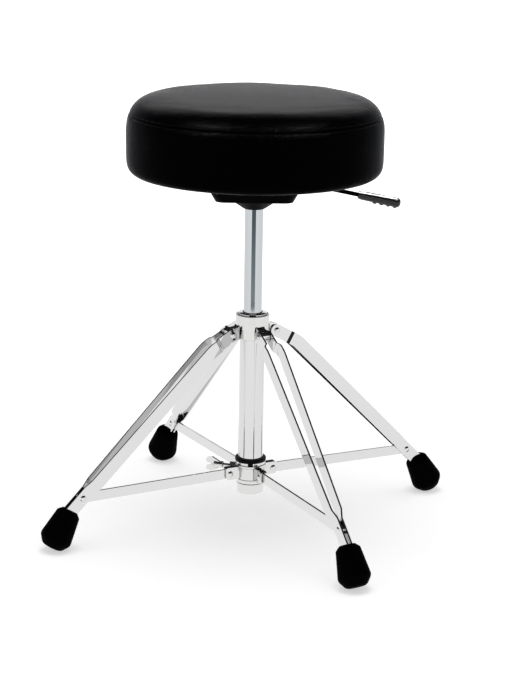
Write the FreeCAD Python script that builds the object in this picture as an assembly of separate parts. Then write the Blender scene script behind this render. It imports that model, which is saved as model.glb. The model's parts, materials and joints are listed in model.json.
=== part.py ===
"""Drum throne: round padded seat on a gas spring, over a folding four-leg double-braced stand.

Frame: millimetres, +Z up, origin on the floor under the column. The legs point along +X, +Y, -X
and -Y. Each leg and its strut are drawn in the radial plane of +X, where a point is
(radius from the column, distance to the side, height), and are then turned to their places.
"""
import FreeCAD, Part
import math
import os
from FreeCAD import Vector

# ---------------------------------------------------------------- driving dimensions
LEG_COUNT = 4

# column: a fixed tube between the top collar and the end cap
TUBE_R, TUBE_WALL = 17.8, 2.0
TUBE_LOW, TUBE_HIGH = 49.0, 303.0
SLIP = 0.05                      # radial gap of pieces that are pushed together
RUNNING = 0.07                   # radial gap of pieces that slide or turn

# leg: two flat bars either side of the collar's lug
HINGE_R, HINGE_Z = 34.5, 279.1   # hinge pin on the top collar
JOINT_R, JOINT_Z = 261.0, 70.0   # rivet that joins leg and strut
UPPER_SLOPE, LEG_SLOPE = 29.5, 44.5   # degrees below level, above and below the knee
KNEE_RADIUS = 40.0
BAR_WIDTH, BAR_THICK = 18.0, 2.5
HINGE_OFFSET = 7.95              # middle of a bar beside the lug
KNEE_OFFSET = 12.2               # middle of a bar at the knee
JOGGLE_START, JOGGLE_END = 22.0, 26.6  # from the hinge pin, the step between the two offsets
LOWER_OFFSET = 7.4               # middle of a bar above the strut
JOINT_OFFSET = 3.15              # middle of a bar beside the strut
FOOT_START = 25.0                # from the strut rivet to the rubber foot
FOOT_SOCKET = 26.0               # how far the bars go into the foot

# rubber foot: a bulb that stands steeper than its leg
FOOT_SLOPE = 60.0
FOOT_LENGTH = 57.0
FOOT_TOP_R, FOOT_NECK_R, FOOT_MAX_R = 11.0, 16.8, 22.9
FOOT_SINK = 0.8                  # how much of the round end is flat on the floor

# strut: one flat bar from the lower collar to the leg
EAR_R, EAR_Z = 34.5, 73.0        # rivet in the lower collar's ears
STRUT_WIDTH, STRUT_THICK = 14.0, 3.0
EAR_THICK, EAR_GAP = 3.0, 0.35

# rivets and pins of the stand
RIVET_R, RIVET_HEAD_R, RIVET_HEAD_H = 3.0, 4.5, 2.1

# gas spring
CYLINDER_R, CYLINDER_WALL = 13.0, 1.5
CYLINDER_LOW, CYLINDER_HIGH = 246.0, 480.0
ROD_R = 5.0
ROD_LOW, ROD_HIGH = 42.8, 273.0

# seat
SEAT_R, SEAT_BOTTOM, SEAT_TOP = 177.8, 508.0, 610.0
SEAT_TOP_ROUND, SEAT_BOTTOM_ROUND = 38.0, 17.0
SEAT_CROWN_R = 4200.0
COVER_THICK = 1.6
COVER_HEM_R = 146.0
BOARD_R, BOARD_LOW, BOARD_HIGH = 160.0, 509.7, 522.0
SEAT_HEADING = -27.6             # degrees about +Z from leg 1 to the lever

# bracket under the seat
FLANGE_HALF, FLANGE_LOW, FLANGE_HIGH = 86.0, 505.5, 508.0
PAN_TOP_HALF, PAN_FLOOR_HALF, PAN_FLOOR = 70.0, 53.5, 473.0
SHEET = 2.5
BOLT_AT = 76.0
SOCKET_LOW, SOCKET_HIGH = 456.0, 484.0

# release lever
PIVOT_X, LEVER_Z = 36.0, 490.0
LEVER_R = 3.0
LEVER_BEND_X, LEVER_DROP = 78.0, 11.0
GRIP_START, GRIP_END, GRIP_R = 67.0, 127.0, 6.2     # along the rod, from its bend
RIDGE_COUNT, RIDGE_PITCH = 4, 9.5
PIN_R = 2.5


# ---------------------------------------------------------------- drawing helpers
def radial(a, b):
    """A point of the radial plane, from its radius and height."""
    return Vector(a, 0, b)


def level(a, b):
    """A point of the level plane."""
    return Vector(a, b, 0)


def outline(corners, place):
    """Closed wire through corners (a, b) or (a, b, rounding radius)."""
    spans = []
    for i, (a, b, *rest) in enumerate(corners):
        rounding = rest[0] if rest else 0
        here = Vector(a, b, 0)
        back = Vector(*corners[i - 1][:2], 0) - here
        ahead = Vector(*corners[(i + 1) % len(corners)][:2], 0) - here
        back.normalize()
        ahead.normalize()
        if not rounding:
            spans.append((here, None, here))
            continue
        half = back.getAngle(ahead) / 2
        middle = back + ahead
        middle.normalize()
        trim = rounding / math.tan(half)
        reach = rounding / math.sin(half) - rounding
        spans.append((here + back * trim, here + middle * reach, here + ahead * trim))
    edges = []
    for i, (start, mid, end) in enumerate(spans):
        if mid:
            arc = [place(p.x, p.y) for p in (start, mid, end)]
            edges.append(Part.Arc(*arc).toShape())
        following = spans[(i + 1) % len(spans)][0]
        if (following - end).Length > 1e-6:
            edges.append(Part.LineSegment(place(end.x, end.y), place(following.x, following.y)).toShape())
    return Part.Wire(edges)


def turned(corners):
    """Solid of revolution about the column from (radius, height) corners."""
    return Part.Face(outline(corners, radial)).revolve(Vector(0, 0, 0), Vector(0, 0, 1), 360)


def ring(inner, outer, low, high, edge=0):
    """Round sleeve, disc or washer with an optional rounding of its outer edges."""
    return turned([(inner, low), (outer, low, edge), (outer, high, edge), (inner, high)])


def side_plate(corners, low, high):
    """Plate in the radial plane, from low to high to the side of it."""
    face = Part.Face(outline(corners, radial))
    face.translate(Vector(0, low, 0))
    return face.extrude(Vector(0, high - low, 0))


def flat_plate(corners, low, high):
    """Level plate from (x, y) corners, between two heights."""
    face = Part.Face(outline(corners, level))
    face.translate(Vector(0, 0, low))
    return face.extrude(Vector(0, 0, high - low))


def square(half, rounding):
    """Corners of a rounded square about the column."""
    signs = ((-1, -1), (1, -1), (1, 1), (-1, 1))
    return [(x * half, y * half, rounding) for x, y in signs]


def rod(radius, start, end):
    """Round bar between two points."""
    return Part.makeCylinder(radius, (end - start).Length, start, end - start)


def fused(first, *others):
    """One solid from pieces that meet."""
    return first.multiFuse(list(others)).removeSplitter()


def leg_angle(index):
    """Degrees about +Z of leg 1, 2, 3 or 4."""
    return 360.0 / LEG_COUNT * index


def spun(shape, degrees):
    """Copy of a shape turned about the column."""
    copy = shape.copy()
    copy.rotate(Vector(0, 0, 0), Vector(0, 0, 1), degrees)
    return copy


def for_each_leg(shape):
    """Four copies of a shape, one per leg."""
    return [spun(shape, leg_angle(i)) for i in range(LEG_COUNT)]


def rivet_head(side, where, face):
    """Domed head on a bar's outer face; side is +1 or -1 and face its distance from the leg's plane."""
    sphere_r = (RIVET_HEAD_R ** 2 + RIVET_HEAD_H ** 2) / (2 * RIVET_HEAD_H)
    centre = Vector(where[0], side * (face + RIVET_HEAD_H - sphere_r), where[1])
    start = Vector(where[0], side * face, where[1])
    disc = Part.makeCylinder(RIVET_HEAD_R, RIVET_HEAD_H, start, Vector(0, side, 0))
    return disc.common(Part.makeSphere(sphere_r, centre))


def cross_hole(where, radius, reach=30.0):
    """Cutting cylinder along a hinge axis."""
    return rod(radius, Vector(where[0], -reach, where[1]), Vector(where[0], reach, where[1]))


# ---------------------------------------------------------------- column
KEY_ANGLE = 242.4                # where both nylon bushes have their key
CAP_R = 20.6
COLLAR_R, COLLAR_LOW, COLLAR_HIGH = 24.2, 271.3, 306.0
LUG_HALF = 6.3
END_CAP_R, END_CAP_LOW, END_CAP_HIGH = 20.2, 42.0, 57.4
RACE_R, BALL_R, BALL_COUNT = 13.0, 1.95, 8


def key(inner, outer, width, low, high):
    """Key block of a bush, at the key angle."""
    block = Part.makeBox(outer - inner, width, high - low, Vector(inner, -width / 2, low))
    return spun(block, KEY_ANGLE)


def column_tube():
    return ring(TUBE_R - TUBE_WALL, TUBE_R, TUBE_LOW, TUBE_HIGH)


def top_collar():
    """Cast collar with a lug for each leg and a step that takes the cap."""
    bore = TUBE_R + SLIP
    step_r = CAP_R + 1.2
    body = turned([(bore, COLLAR_LOW), (COLLAR_R, COLLAR_LOW, 1.5), (COLLAR_R, COLLAR_HIGH, 1.2),
                   (step_r, COLLAR_HIGH), (step_r, COLLAR_HIGH - 1.6), (bore, COLLAR_HIGH - 1.6)])
    lug = side_plate([(bore + 2, COLLAR_LOW), (HINGE_R + 7.5, COLLAR_LOW, 7.4),
                      (HINGE_R + 7.5, HINGE_Z + 7.5, 7.4), (COLLAR_R + 2, HINGE_Z + 9.5, 3),
                      (bore + 2, HINGE_Z + 16)], -LUG_HALF, LUG_HALF)
    collar = fused(body, *for_each_leg(lug))
    holes = for_each_leg(cross_hole((HINGE_R, HINGE_Z), RIVET_R + SLIP))
    return collar.cut(Part.makeCompound(holes + [key(bore - 1, step_r, 9.4, TUBE_HIGH, COLLAR_HIGH + 2)]))


def collar_cap():
    """Ring over the guide bush, nearly flat on top, with a notch for its key."""
    low = COLLAR_HIGH - 1.0
    cap = turned([(CYLINDER_R + 0.5, low), (CAP_R, low), (CAP_R, low + 2.6, 0.5),
                  (CYLINDER_R + 2.0, low + 3.1, 1), (CYLINDER_R + 0.5, low + 2.4)])
    return cap.cut(key(17.6, 24, 9.4, low - 1, low + 6))


def guide_bush():
    """Nylon sleeve that the gas spring's cylinder slides in."""
    sleeve = turned([(CYLINDER_R + RUNNING, 226), (TUBE_R - TUBE_WALL - SLIP, 226),
                     (TUBE_R - TUBE_WALL - SLIP, TUBE_HIGH), (TUBE_R - SLIP, TUBE_HIGH),
                     (TUBE_R - SLIP, COLLAR_HIGH - 1.1), (CYLINDER_R + RUNNING, COLLAR_HIGH - 1.1)])
    lower = key(TUBE_R - 2, 20.8, 9, TUBE_HIGH, COLLAR_HIGH - 1.1)
    upper = key(17.9, 20.8, 9, TUBE_HIGH, COLLAR_HIGH + 0.6)
    return fused(sleeve, lower, upper)


def hinge_pins():
    """The length of each hinge pin that stays in its lug."""
    reach = LUG_HALF - 0.05
    pin = rod(RIVET_R, Vector(HINGE_R, -reach, HINGE_Z), Vector(HINGE_R, reach, HINGE_Z))
    return Part.makeCompound(for_each_leg(pin))


def end_cap():
    """Cup under the tube; its web carries the thrust bearing."""
    web = TUBE_LOW - 3.5
    return turned([(ROD_R + 0.3, web), (11, web), (11, END_CAP_LOW), (END_CAP_R, END_CAP_LOW, 2.5),
                   (END_CAP_R, END_CAP_HIGH, 0.8), (TUBE_R + SLIP, END_CAP_HIGH),
                   (TUBE_R + SLIP, TUBE_LOW), (ROD_R + 0.3, TUBE_LOW)])


def bearing_washer():
    """Lower race, with the groove that the balls run in."""
    race = ring(ROD_R + 0.3, RACE_R, TUBE_LOW + 0.05, TUBE_LOW + 2.6, 0.4)
    return race.cut(ball_track(0.12))


def ball_track(gap):
    """Ring that the balls sweep, larger by a gap."""
    return Part.makeTorus(9.2, BALL_R + gap, Vector(0, 0, TUBE_LOW + 4.3), Vector(0, 0, 1))


# ---------------------------------------------------------------- gas spring
def bearing_race():
    """Upper race, which turns with the rod."""
    race = ring(ROD_R + 0.03, RACE_R, TUBE_LOW + 6.0, TUBE_LOW + 8.4, 0.4)
    return race.cut(ball_track(0.05))


def bearing_balls():
    """Balls between the two races."""
    balls = []
    for i in range(BALL_COUNT):
        angle = 2 * math.pi * i / BALL_COUNT
        centre = Vector(9.2 * math.cos(angle), 9.2 * math.sin(angle), TUBE_LOW + 4.3)
        balls.append(Part.makeSphere(BALL_R, centre))
    return Part.makeCompound(balls)


def piston_rod():
    """Rod with a shoulder on the bearing, a clip groove below and a spigot for the piston."""
    shoulder = TUBE_LOW + 8.5
    return turned([(0, ROD_LOW), (ROD_R, ROD_LOW, 0.4), (ROD_R, ROD_LOW + 0.6), (4.2, ROD_LOW + 0.6),
                   (4.2, ROD_LOW + 2.0), (ROD_R, ROD_LOW + 2.0), (ROD_R, shoulder), (8, shoulder),
                   (8, shoulder + 3, 1), (ROD_R, shoulder + 3), (ROD_R, 260), (4, 260),
                   (4, ROD_HIGH, 0.5), (0, ROD_HIGH)])


def rod_clip():
    """Open spring clip in the rod's groove, under the end cap's web."""
    clip = ring(4.25, 8.5, ROD_LOW + 0.7, ROD_LOW + 1.9)
    return clip.cut(Part.makeBox(10, 5, 4, Vector(0, -2.5, ROD_LOW)))


def piston():
    bore = CYLINDER_R - CYLINDER_WALL
    outer = bore - 0.06
    return turned([(4.02, 260.05), (outer, 260.05, 0.6), (outer, 264.5), (9, 264.5), (9, 267.5),
                   (outer, 267.5), (outer, 272, 0.6), (4.02, 272)])


def piston_seal():
    return ring(9.03, CYLINDER_R - CYLINDER_WALL - 0.03, 264.55, 267.45)


def gas_cylinder():
    """Pressure tube, closed at the top round the valve pin."""
    bore = CYLINDER_R - CYLINDER_WALL
    return turned([(bore, CYLINDER_LOW), (CYLINDER_R, CYLINDER_LOW, 0.7), (CYLINDER_R, CYLINDER_HIGH, 1.5),
                   (PIN_R + 0.1, CYLINDER_HIGH), (PIN_R + 0.1, CYLINDER_HIGH - 4), (bore, CYLINDER_HIGH - 4)])


def cylinder_gland():
    """Seal carrier that closes the pressure tube round the rod."""
    return ring(ROD_R + RUNNING, CYLINDER_R - CYLINDER_WALL - 0.02, CYLINDER_LOW + 0.5, 258)


def valve_body():
    """Valve block in the top of the pressure tube, bored for the pin."""
    outer = CYLINDER_R - CYLINDER_WALL - 0.02
    return turned([(0, 424), (outer, 424), (outer, CYLINDER_HIGH - 4.02), (PIN_R + 0.1, CYLINDER_HIGH - 4.02),
                   (PIN_R + 0.1, 426), (0, 426)])


def valve_pin():
    return turned([(0, 430), (PIN_R, 430), (PIN_R, LEVER_Z - LEVER_R - 0.35, 1.0),
                   (0, LEVER_Z - LEVER_R - 0.35)])


# ---------------------------------------------------------------- lower collar
WAIST_R, UPPER_FLANGE_R, LOWER_FLANGE_R = 19.9, 22.2, 20.6
SLIDER_LOW, SLIDER_HIGH = 57.8, 89.7
SLIDER_BORE = 18.65
SCREW_ANGLE, SCREW_Z = 135.0, 76.5


def on_screw(shape):
    """Turn a piece drawn along +X to the clamp screw's direction."""
    return spun(shape, SCREW_ANGLE)


def lower_collar():
    """Sliding collar with four pairs of ears and a boss for the clamp screw."""
    body = turned([(SLIDER_BORE, SLIDER_LOW), (LOWER_FLANGE_R, SLIDER_LOW, 0.8), (LOWER_FLANGE_R, 63.5, 0.8),
                   (WAIST_R, 63.5), (WAIST_R, 81.5), (UPPER_FLANGE_R, 81.5, 0.8), (UPPER_FLANGE_R, 84.8, 0.6),
                   (UPPER_FLANGE_R - 0.9, 84.8), (UPPER_FLANGE_R - 0.9, 85.9), (UPPER_FLANGE_R, 85.9, 0.6),
                   (UPPER_FLANGE_R, SLIDER_HIGH, 0.6), (SLIDER_BORE, SLIDER_HIGH)])
    inner = STRUT_THICK / 2 + EAR_GAP
    ear = [(SLIDER_BORE + 0.4, EAR_Z - 8.5), (EAR_R + 6.6, EAR_Z - 8.5, 5.5),
           (EAR_R + 6.6, EAR_Z + 9.5, 3), (SLIDER_BORE + 0.4, EAR_Z + 9.5)]
    ears = [side_plate(ear, inner, inner + EAR_THICK), side_plate(ear, -inner - EAR_THICK, -inner)]
    boss = on_screw(rod(6.5, Vector(SLIDER_BORE + 0.5, 0, SCREW_Z), Vector(30, 0, SCREW_Z)))
    all_ears = for_each_leg(ears[0]) + for_each_leg(ears[1])
    collar = fused(body, boss, *all_ears)
    holes = for_each_leg(cross_hole((EAR_R, EAR_Z), RIVET_R + SLIP, 12))
    bore = on_screw(rod(3.05, Vector(10, 0, SCREW_Z), Vector(40, 0, SCREW_Z)))
    notch = key(SLIDER_BORE - 1, 24, 7.4, 85.0, SLIDER_HIGH + 1)
    return collar.cut(Part.makeCompound(holes + [bore, notch]))


def lower_bush():
    """Nylon bush in the sliding collar; its flange stands on the collar."""
    inner = TUBE_R + RUNNING
    sleeve = turned([(inner, SLIDER_LOW + 2), (SLIDER_BORE - SLIP, SLIDER_LOW + 2),
                     (SLIDER_BORE - SLIP, SLIDER_HIGH + 0.05), (UPPER_FLANGE_R, SLIDER_HIGH + 0.05, 0.8),
                     (UPPER_FLANGE_R, 94.6, 1.2), (inner, 94.6)])
    bush = fused(sleeve, key(inner + 0.4, UPPER_FLANGE_R + 0.1, 7.0, 85.2, 92))
    return bush.cut(on_screw(rod(3.05, Vector(10, 0, SCREW_Z), Vector(20, 0, SCREW_Z))))


def ear_rivets():
    """Four rivets through the ears, with a domed head at each side."""
    face = STRUT_THICK / 2 + EAR_GAP + EAR_THICK
    where = (EAR_R, EAR_Z)
    shank = rod(RIVET_R, Vector(EAR_R, -face, EAR_Z), Vector(EAR_R, face, EAR_Z))
    rivet = fused(shank, rivet_head(1, where, face), rivet_head(-1, where, face))
    return Part.makeCompound(for_each_leg(rivet))


def clamp_pad():
    """Pad that the clamp screw presses on the tube."""
    return on_screw(rod(2.9, Vector(TUBE_R + 0.3, 0, SCREW_Z), Vector(TUBE_R + 2.6, 0, SCREW_Z)))


def wing_screw():
    """Clamp screw with a waisted hub and two rounded wings."""
    start = TUBE_R + 2.9
    shank = rod(2.95, Vector(start, 0, SCREW_Z), Vector(46, 0, SCREW_Z))
    hub = turned([(0, 41), (5.6, 41, 1), (4.6, 48, 4), (5.4, 55, 2), (0, 55)])
    hub.rotate(Vector(0, 0, 0), Vector(0, 1, 0), 90)
    hub.translate(Vector(0, 0, SCREW_Z))
    lobe = [(43, 0), (46, 4.5, 3), (57, 10.5, 4.5), (68, 9.5, 4.2), (66, 2.5, 3), (55, 0, 3)]
    wing = side_plate([(r, SCREW_Z + h, *rest) for r, h, *rest in lobe], -1.7, 1.7)
    opposite = wing.mirror(Vector(0, 0, SCREW_Z), Vector(0, 0, 1))
    return on_screw(fused(shank, hub, wing, opposite))


# ---------------------------------------------------------------- struts and legs
def strut():
    """Flat bar between the ear rivet and the leg rivet, with round ends."""
    start = Vector(EAR_R, 0, EAR_Z)
    end = Vector(JOINT_R, 0, JOINT_Z)
    length = (end - start).Length
    half = STRUT_WIDTH / 2
    reach = 0.98 * half
    bar = side_plate([(-half, -half, reach), (length + half, -half, reach),
                      (length + half, half, reach), (-half, half, reach)], -STRUT_THICK / 2, STRUT_THICK / 2)
    bar = bar.cut(cross_hole((0, 0), RIVET_R + RUNNING, 5)).cut(cross_hole((length, 0), RIVET_R + RUNNING, 5))
    bar.rotate(Vector(0, 0, 0), Vector(0, 1, 0), math.degrees(math.atan2(EAR_Z - JOINT_Z, JOINT_R - EAR_R)))
    bar.translate(start)
    return bar


def direction(slope):
    """Unit vector along a leg that falls by a slope, away from the column."""
    angle = math.radians(slope)
    return Vector(math.cos(angle), 0, -math.sin(angle))


def leg_line():
    """Hinge, knee and rivet of a leg's centre line, and the two straight lengths."""
    upper, lower = direction(UPPER_SLOPE), direction(LEG_SLOPE)
    run_r, run_z = JOINT_R - HINGE_R, JOINT_Z - HINGE_Z
    turn = upper.x * lower.z - upper.z * lower.x
    first = (run_r * lower.z - run_z * lower.x) / turn
    second = (upper.x * run_z - upper.z * run_r) / turn
    hinge = Vector(HINGE_R, 0, HINGE_Z)
    return hinge, hinge + upper * first, first, second


def strip(path, side, slope, origin):
    """Flat bar standing on edge along one slope; path gives (distance, offset to the side, rounding)."""
    inner = [(s, offset - BAR_THICK / 2, r) for s, offset, r in path]
    outer = [(s, offset + BAR_THICK / 2, r) for s, offset, r in reversed(path)]
    plate = flat_plate([(s, side * y, r) for s, y, r in inner + outer], -BAR_WIDTH / 2, BAR_WIDTH / 2)
    plate.rotate(Vector(0, 0, 0), Vector(0, 1, 0), slope)
    plate.translate(origin)
    return plate


def leg_bar(side):
    """One bar of a leg: joggled out past the lug, bent at the knee, joggled in to the strut and foot."""
    hinge, knee, first, second = leg_line()
    turn = math.radians(LEG_SLOPE - UPPER_SLOPE)
    tangent = KNEE_RADIUS * math.tan(turn / 2)
    upper_end = first - tangent
    upper = strip([(-BAR_WIDTH / 2, HINGE_OFFSET, 0), (JOGGLE_START, HINGE_OFFSET, 3),
                   (JOGGLE_END, KNEE_OFFSET, 3), (upper_end, KNEE_OFFSET, 0)], side, UPPER_SLOPE, hinge)
    end_round = side_plate([(-BAR_WIDTH / 2, -BAR_WIDTH / 2, 8.9), (90, -BAR_WIDTH / 2),
                            (90, BAR_WIDTH / 2), (-BAR_WIDTH / 2, BAR_WIDTH / 2, 8.9)], -30, 30)
    end_round.rotate(Vector(0, 0, 0), Vector(0, 1, 0), UPPER_SLOPE)
    end_round.translate(hinge)
    upper = upper.common(end_round)
    lower = strip([(tangent, KNEE_OFFSET, 0), (second - 26, LOWER_OFFSET, 12), (second - 13, JOINT_OFFSET, 8),
                   (second + FOOT_START + FOOT_SOCKET, JOINT_OFFSET, 0)], side, LEG_SLOPE, knee)
    along = direction(UPPER_SLOPE)
    across = Vector(along.z, 0, -along.x)
    bend_start = hinge + along * upper_end
    centre = bend_start + across * KNEE_RADIUS
    corners = []
    for reach, offset in ((-1, -1), (1, -1), (1, 1), (-1, 1)):
        lateral = Vector(0, side * (KNEE_OFFSET + offset * BAR_THICK / 2), 0)
        corners.append(bend_start + across * (reach * BAR_WIDTH / 2) + lateral)
    section = Part.Face(Part.makePolygon(corners + corners[:1]))
    bend = section.revolve(centre, Vector(0, 1, 0), math.degrees(turn))
    bar = fused(upper, bend, lower)
    holes = [cross_hole((HINGE_R, HINGE_Z), RIVET_R + SLIP), cross_hole((JOINT_R, JOINT_Z), RIVET_R + SLIP)]
    return bar.cut(Part.makeCompound(holes))


def foot():
    """Rubber bulb over the ends of the two bars, flat where it meets the floor."""
    bulb = turned([(0, 0), (FOOT_TOP_R, 0, 1), (FOOT_NECK_R, -5.5, 2.5), (FOOT_MAX_R, -44.5, 9.5),
                   (14, -FOOT_LENGTH, 9), (0, -FOOT_LENGTH)])
    bulb.rotate(Vector(0, 0, 0), Vector(0, 1, 0), FOOT_SLOPE - 90)
    hinge, knee, first, second = leg_line()
    top = knee + direction(LEG_SLOPE) * (second + FOOT_START)
    bulb.translate(top)
    lowest = bulb.optimalBoundingBox().ZMin
    bulb.translate(Vector(0, 0, -FOOT_SINK - lowest))
    bulb = bulb.cut(Part.makeBox(200, 200, 40, Vector(200, -100, -40)))
    socket = side_plate([(0, -BAR_WIDTH / 2), (second + FOOT_START + FOOT_SOCKET, -BAR_WIDTH / 2),
                         (second + FOOT_START + FOOT_SOCKET, BAR_WIDTH / 2), (0, BAR_WIDTH / 2)],
                        -JOINT_OFFSET - BAR_THICK / 2, JOINT_OFFSET + BAR_THICK / 2)
    socket.rotate(Vector(0, 0, 0), Vector(0, 1, 0), LEG_SLOPE)
    socket.translate(knee)
    return bulb.cut(socket)


def leg_rivets():
    """The strut rivet, and the two riveted ends of the hinge pin that hold the bars."""
    face = JOINT_OFFSET + BAR_THICK / 2
    where = (JOINT_R, JOINT_Z)
    shank = rod(RIVET_R, Vector(JOINT_R, -face, JOINT_Z), Vector(JOINT_R, face, JOINT_Z))
    solids = [fused(shank, rivet_head(1, where, face), rivet_head(-1, where, face))]
    inner = HINGE_OFFSET - BAR_THICK / 2
    outer = HINGE_OFFSET + BAR_THICK / 2
    for side in (1, -1):
        stub = rod(RIVET_R, Vector(HINGE_R, side * inner, HINGE_Z), Vector(HINGE_R, side * outer, HINGE_Z))
        solids.append(fused(stub, rivet_head(side, (HINGE_R, HINGE_Z), outer)))
    return Part.makeCompound(solids)


# ---------------------------------------------------------------- seat
def cushion(inset):
    """The seat's outer form, smaller all round by an inset."""
    side = SEAT_R - inset
    form = turned([(0, SEAT_BOTTOM + inset), (side, SEAT_BOTTOM + inset, SEAT_BOTTOM_ROUND - inset),
                   (side, SEAT_TOP - inset, SEAT_TOP_ROUND - inset), (0, SEAT_TOP - inset)])
    crown = Part.makeSphere(SEAT_CROWN_R - inset, Vector(0, 0, SEAT_TOP - SEAT_CROWN_R))
    return form.common(crown)


def seat_cover():
    """Cover drawn over the foam and turned in under the board."""
    hem = Part.makeCylinder(COVER_HEM_R, 6, Vector(0, 0, SEAT_BOTTOM - 3))
    return cushion(0).cut(cushion(COVER_THICK)).cut(hem)


def bolt_places():
    return [(x, y) for x in (-BOLT_AT, BOLT_AT) for y in (-BOLT_AT, BOLT_AT)]


def at_bolts(radius, low, high):
    """Cylinders on the four seat bolts."""
    return [Part.makeCylinder(radius, high - low, Vector(x, y, low)) for x, y in bolt_places()]


def seat_foam():
    board_space = Part.makeCylinder(BOARD_R + 0.02, BOARD_HIGH - 500, Vector(0, 0, 500))
    nut_space = at_bolts(9.1, BOARD_HIGH - 1, BOARD_HIGH + 1.6)
    return cushion(COVER_THICK + 0.02).cut(Part.makeCompound([board_space] + nut_space))


def seat_board():
    board = ring(0, BOARD_R, BOARD_LOW, BOARD_HIGH, 1.0)
    return board.cut(Part.makeCompound(at_bolts(4.1, BOARD_LOW - 1, BOARD_HIGH + 1)))


def dust_cover():
    """Black cloth disc between the board and the bracket."""
    disc = ring(0, COVER_HEM_R - 0.5, FLANGE_HIGH + 0.05, BOARD_LOW - 0.05)
    return disc.cut(Part.makeCompound(at_bolts(3.3, FLANGE_HIGH - 1, BOARD_LOW + 1)))


def tee_nuts():
    """Flanged nuts pressed into the board from above."""
    nuts = []
    for x, y in bolt_places():
        nut = turned([(3.05, 512), (4.05, 512), (4.05, BOARD_HIGH + 0.02), (9, BOARD_HIGH + 0.02),
                      (9, BOARD_HIGH + 1.5), (3.05, BOARD_HIGH + 1.5)])
        nut.translate(Vector(x, y, 0))
        nuts.append(nut)
    return Part.makeCompound(nuts)


def seat_bolts():
    """Hexagon bolts with washers, up through the bracket's flange."""
    bolts = []
    turns = [math.radians(60 * i) for i in range(6)]
    hexagon = [(5.77 * math.cos(turn), 5.77 * math.sin(turn)) for turn in turns]
    for x, y in bolt_places():
        head = flat_plate(hexagon, FLANGE_LOW - 5.4, FLANGE_LOW - 1.4)
        washer = ring(0, 7.5, FLANGE_LOW - 1.4, FLANGE_LOW - 0.02)
        shank = ring(0, 3, FLANGE_LOW - 2, 520)
        bolt = fused(head, washer, shank)
        bolt.translate(Vector(x, y, 0))
        bolts.append(bolt)
    return Part.makeCompound(bolts)


# ---------------------------------------------------------------- bracket and lever
def pan_form(inset, low, high):
    """Tapered square form of the pan between two heights, smaller by an inset."""
    slope = (PAN_TOP_HALF - PAN_FLOOR_HALF) / (FLANGE_LOW - PAN_FLOOR)
    wires = []
    for height in (low, high):
        half = PAN_FLOOR_HALF + slope * (height - PAN_FLOOR) - inset
        wire = outline(square(half, 14 - inset), level)
        wire.translate(Vector(0, 0, height))
        wires.append(wire)
    return Part.makeLoft(wires, True, True)


def seat_bracket():
    """Pressed pan with a flange for the seat bolts, a hole for the socket and a slot for the lever."""
    flange = flat_plate(square(FLANGE_HALF, 14), FLANGE_LOW, FLANGE_HIGH)
    pan = fused(pan_form(0, PAN_FLOOR, FLANGE_LOW + 1), flange)
    pan = pan.cut(pan_form(SHEET, PAN_FLOOR + SHEET, FLANGE_HIGH + 2))
    cuts = at_bolts(3.3, FLANGE_LOW - 2, FLANGE_HIGH + 2)
    cuts.append(Part.makeCylinder(18.05, 10, Vector(0, 0, PAN_FLOOR - 4)))
    cuts.append(Part.makeBox(40, 10, 13, Vector(45, -5, LEVER_Z - 7)))
    return pan.cut(Part.makeCompound(cuts))


def seat_socket():
    """Flared boss that the top of the gas spring sits in, welded through the pan's floor."""
    bore = CYLINDER_R + SLIP
    seat = PAN_FLOOR - 0.05
    return turned([(bore, SOCKET_LOW), (14.8, SOCKET_LOW, 1.5), (36, 470.2, 14), (42, seat),
                   (18, seat), (18, SOCKET_HIGH - 3, 1), (bore, SOCKET_HIGH - 3)])


def lever_carrier():
    """Folded steel stirrup in the pan that holds the lever's pivot pin."""
    floor = PAN_FLOOR + SHEET + 0.05
    base = Part.makeBox(24, 20, 2, Vector(PIVOT_X - 12, -10, floor))
    cheek = side_plate([(PIVOT_X - 12, floor), (PIVOT_X + 12, floor), (PIVOT_X + 7, LEVER_Z + 6, 5),
                        (PIVOT_X - 7, LEVER_Z + 6, 5)], 7.8, 10)
    other = side_plate([(PIVOT_X - 12, floor), (PIVOT_X + 12, floor), (PIVOT_X + 7, LEVER_Z + 6, 5),
                        (PIVOT_X - 7, LEVER_Z + 6, 5)], -10, -7.8)
    stirrup = fused(base, cheek, other)
    return stirrup.cut(cross_hole((PIVOT_X, LEVER_Z), PIN_R + 0.02, 15))


def lever_pin():
    """Pivot pin with a head at one end."""
    pin = rod(PIN_R, Vector(PIVOT_X, -11, LEVER_Z), Vector(PIVOT_X, 10.02, LEVER_Z))
    head = rod(4, Vector(PIVOT_X, 10.02, LEVER_Z), Vector(PIVOT_X, 11.5, LEVER_Z))
    return fused(pin, head)


def lever_direction():
    return direction(LEVER_DROP)


def lever_rod():
    """Round rod: level over the valve pin and through its pivot sleeve, then bent down to the grip."""
    bend = Vector(LEVER_BEND_X, 0, LEVER_Z)
    radius = 40.0
    tangent = radius * math.tan(math.radians(LEVER_DROP) / 2)
    arc_start = bend - Vector(tangent, 0, 0)
    arc_end = bend + lever_direction() * tangent
    inner = rod(LEVER_R, Vector(-5, 0, LEVER_Z), arc_start)
    disc = Part.Face(Part.Wire(Part.Circle(arc_start, Vector(1, 0, 0), LEVER_R).toShape()))
    curve = disc.revolve(arc_start - Vector(0, 0, radius), Vector(0, 1, 0), LEVER_DROP)
    outer = rod(LEVER_R, arc_end, bend + lever_direction() * (GRIP_END - 6))
    sleeve = rod(5.2, Vector(PIVOT_X, -7.3, LEVER_Z), Vector(PIVOT_X, 7.3, LEVER_Z))
    whole = fused(inner, curve, outer, sleeve)
    return whole.cut(cross_hole((PIVOT_X, LEVER_Z), PIN_R + RUNNING, 9))


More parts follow.
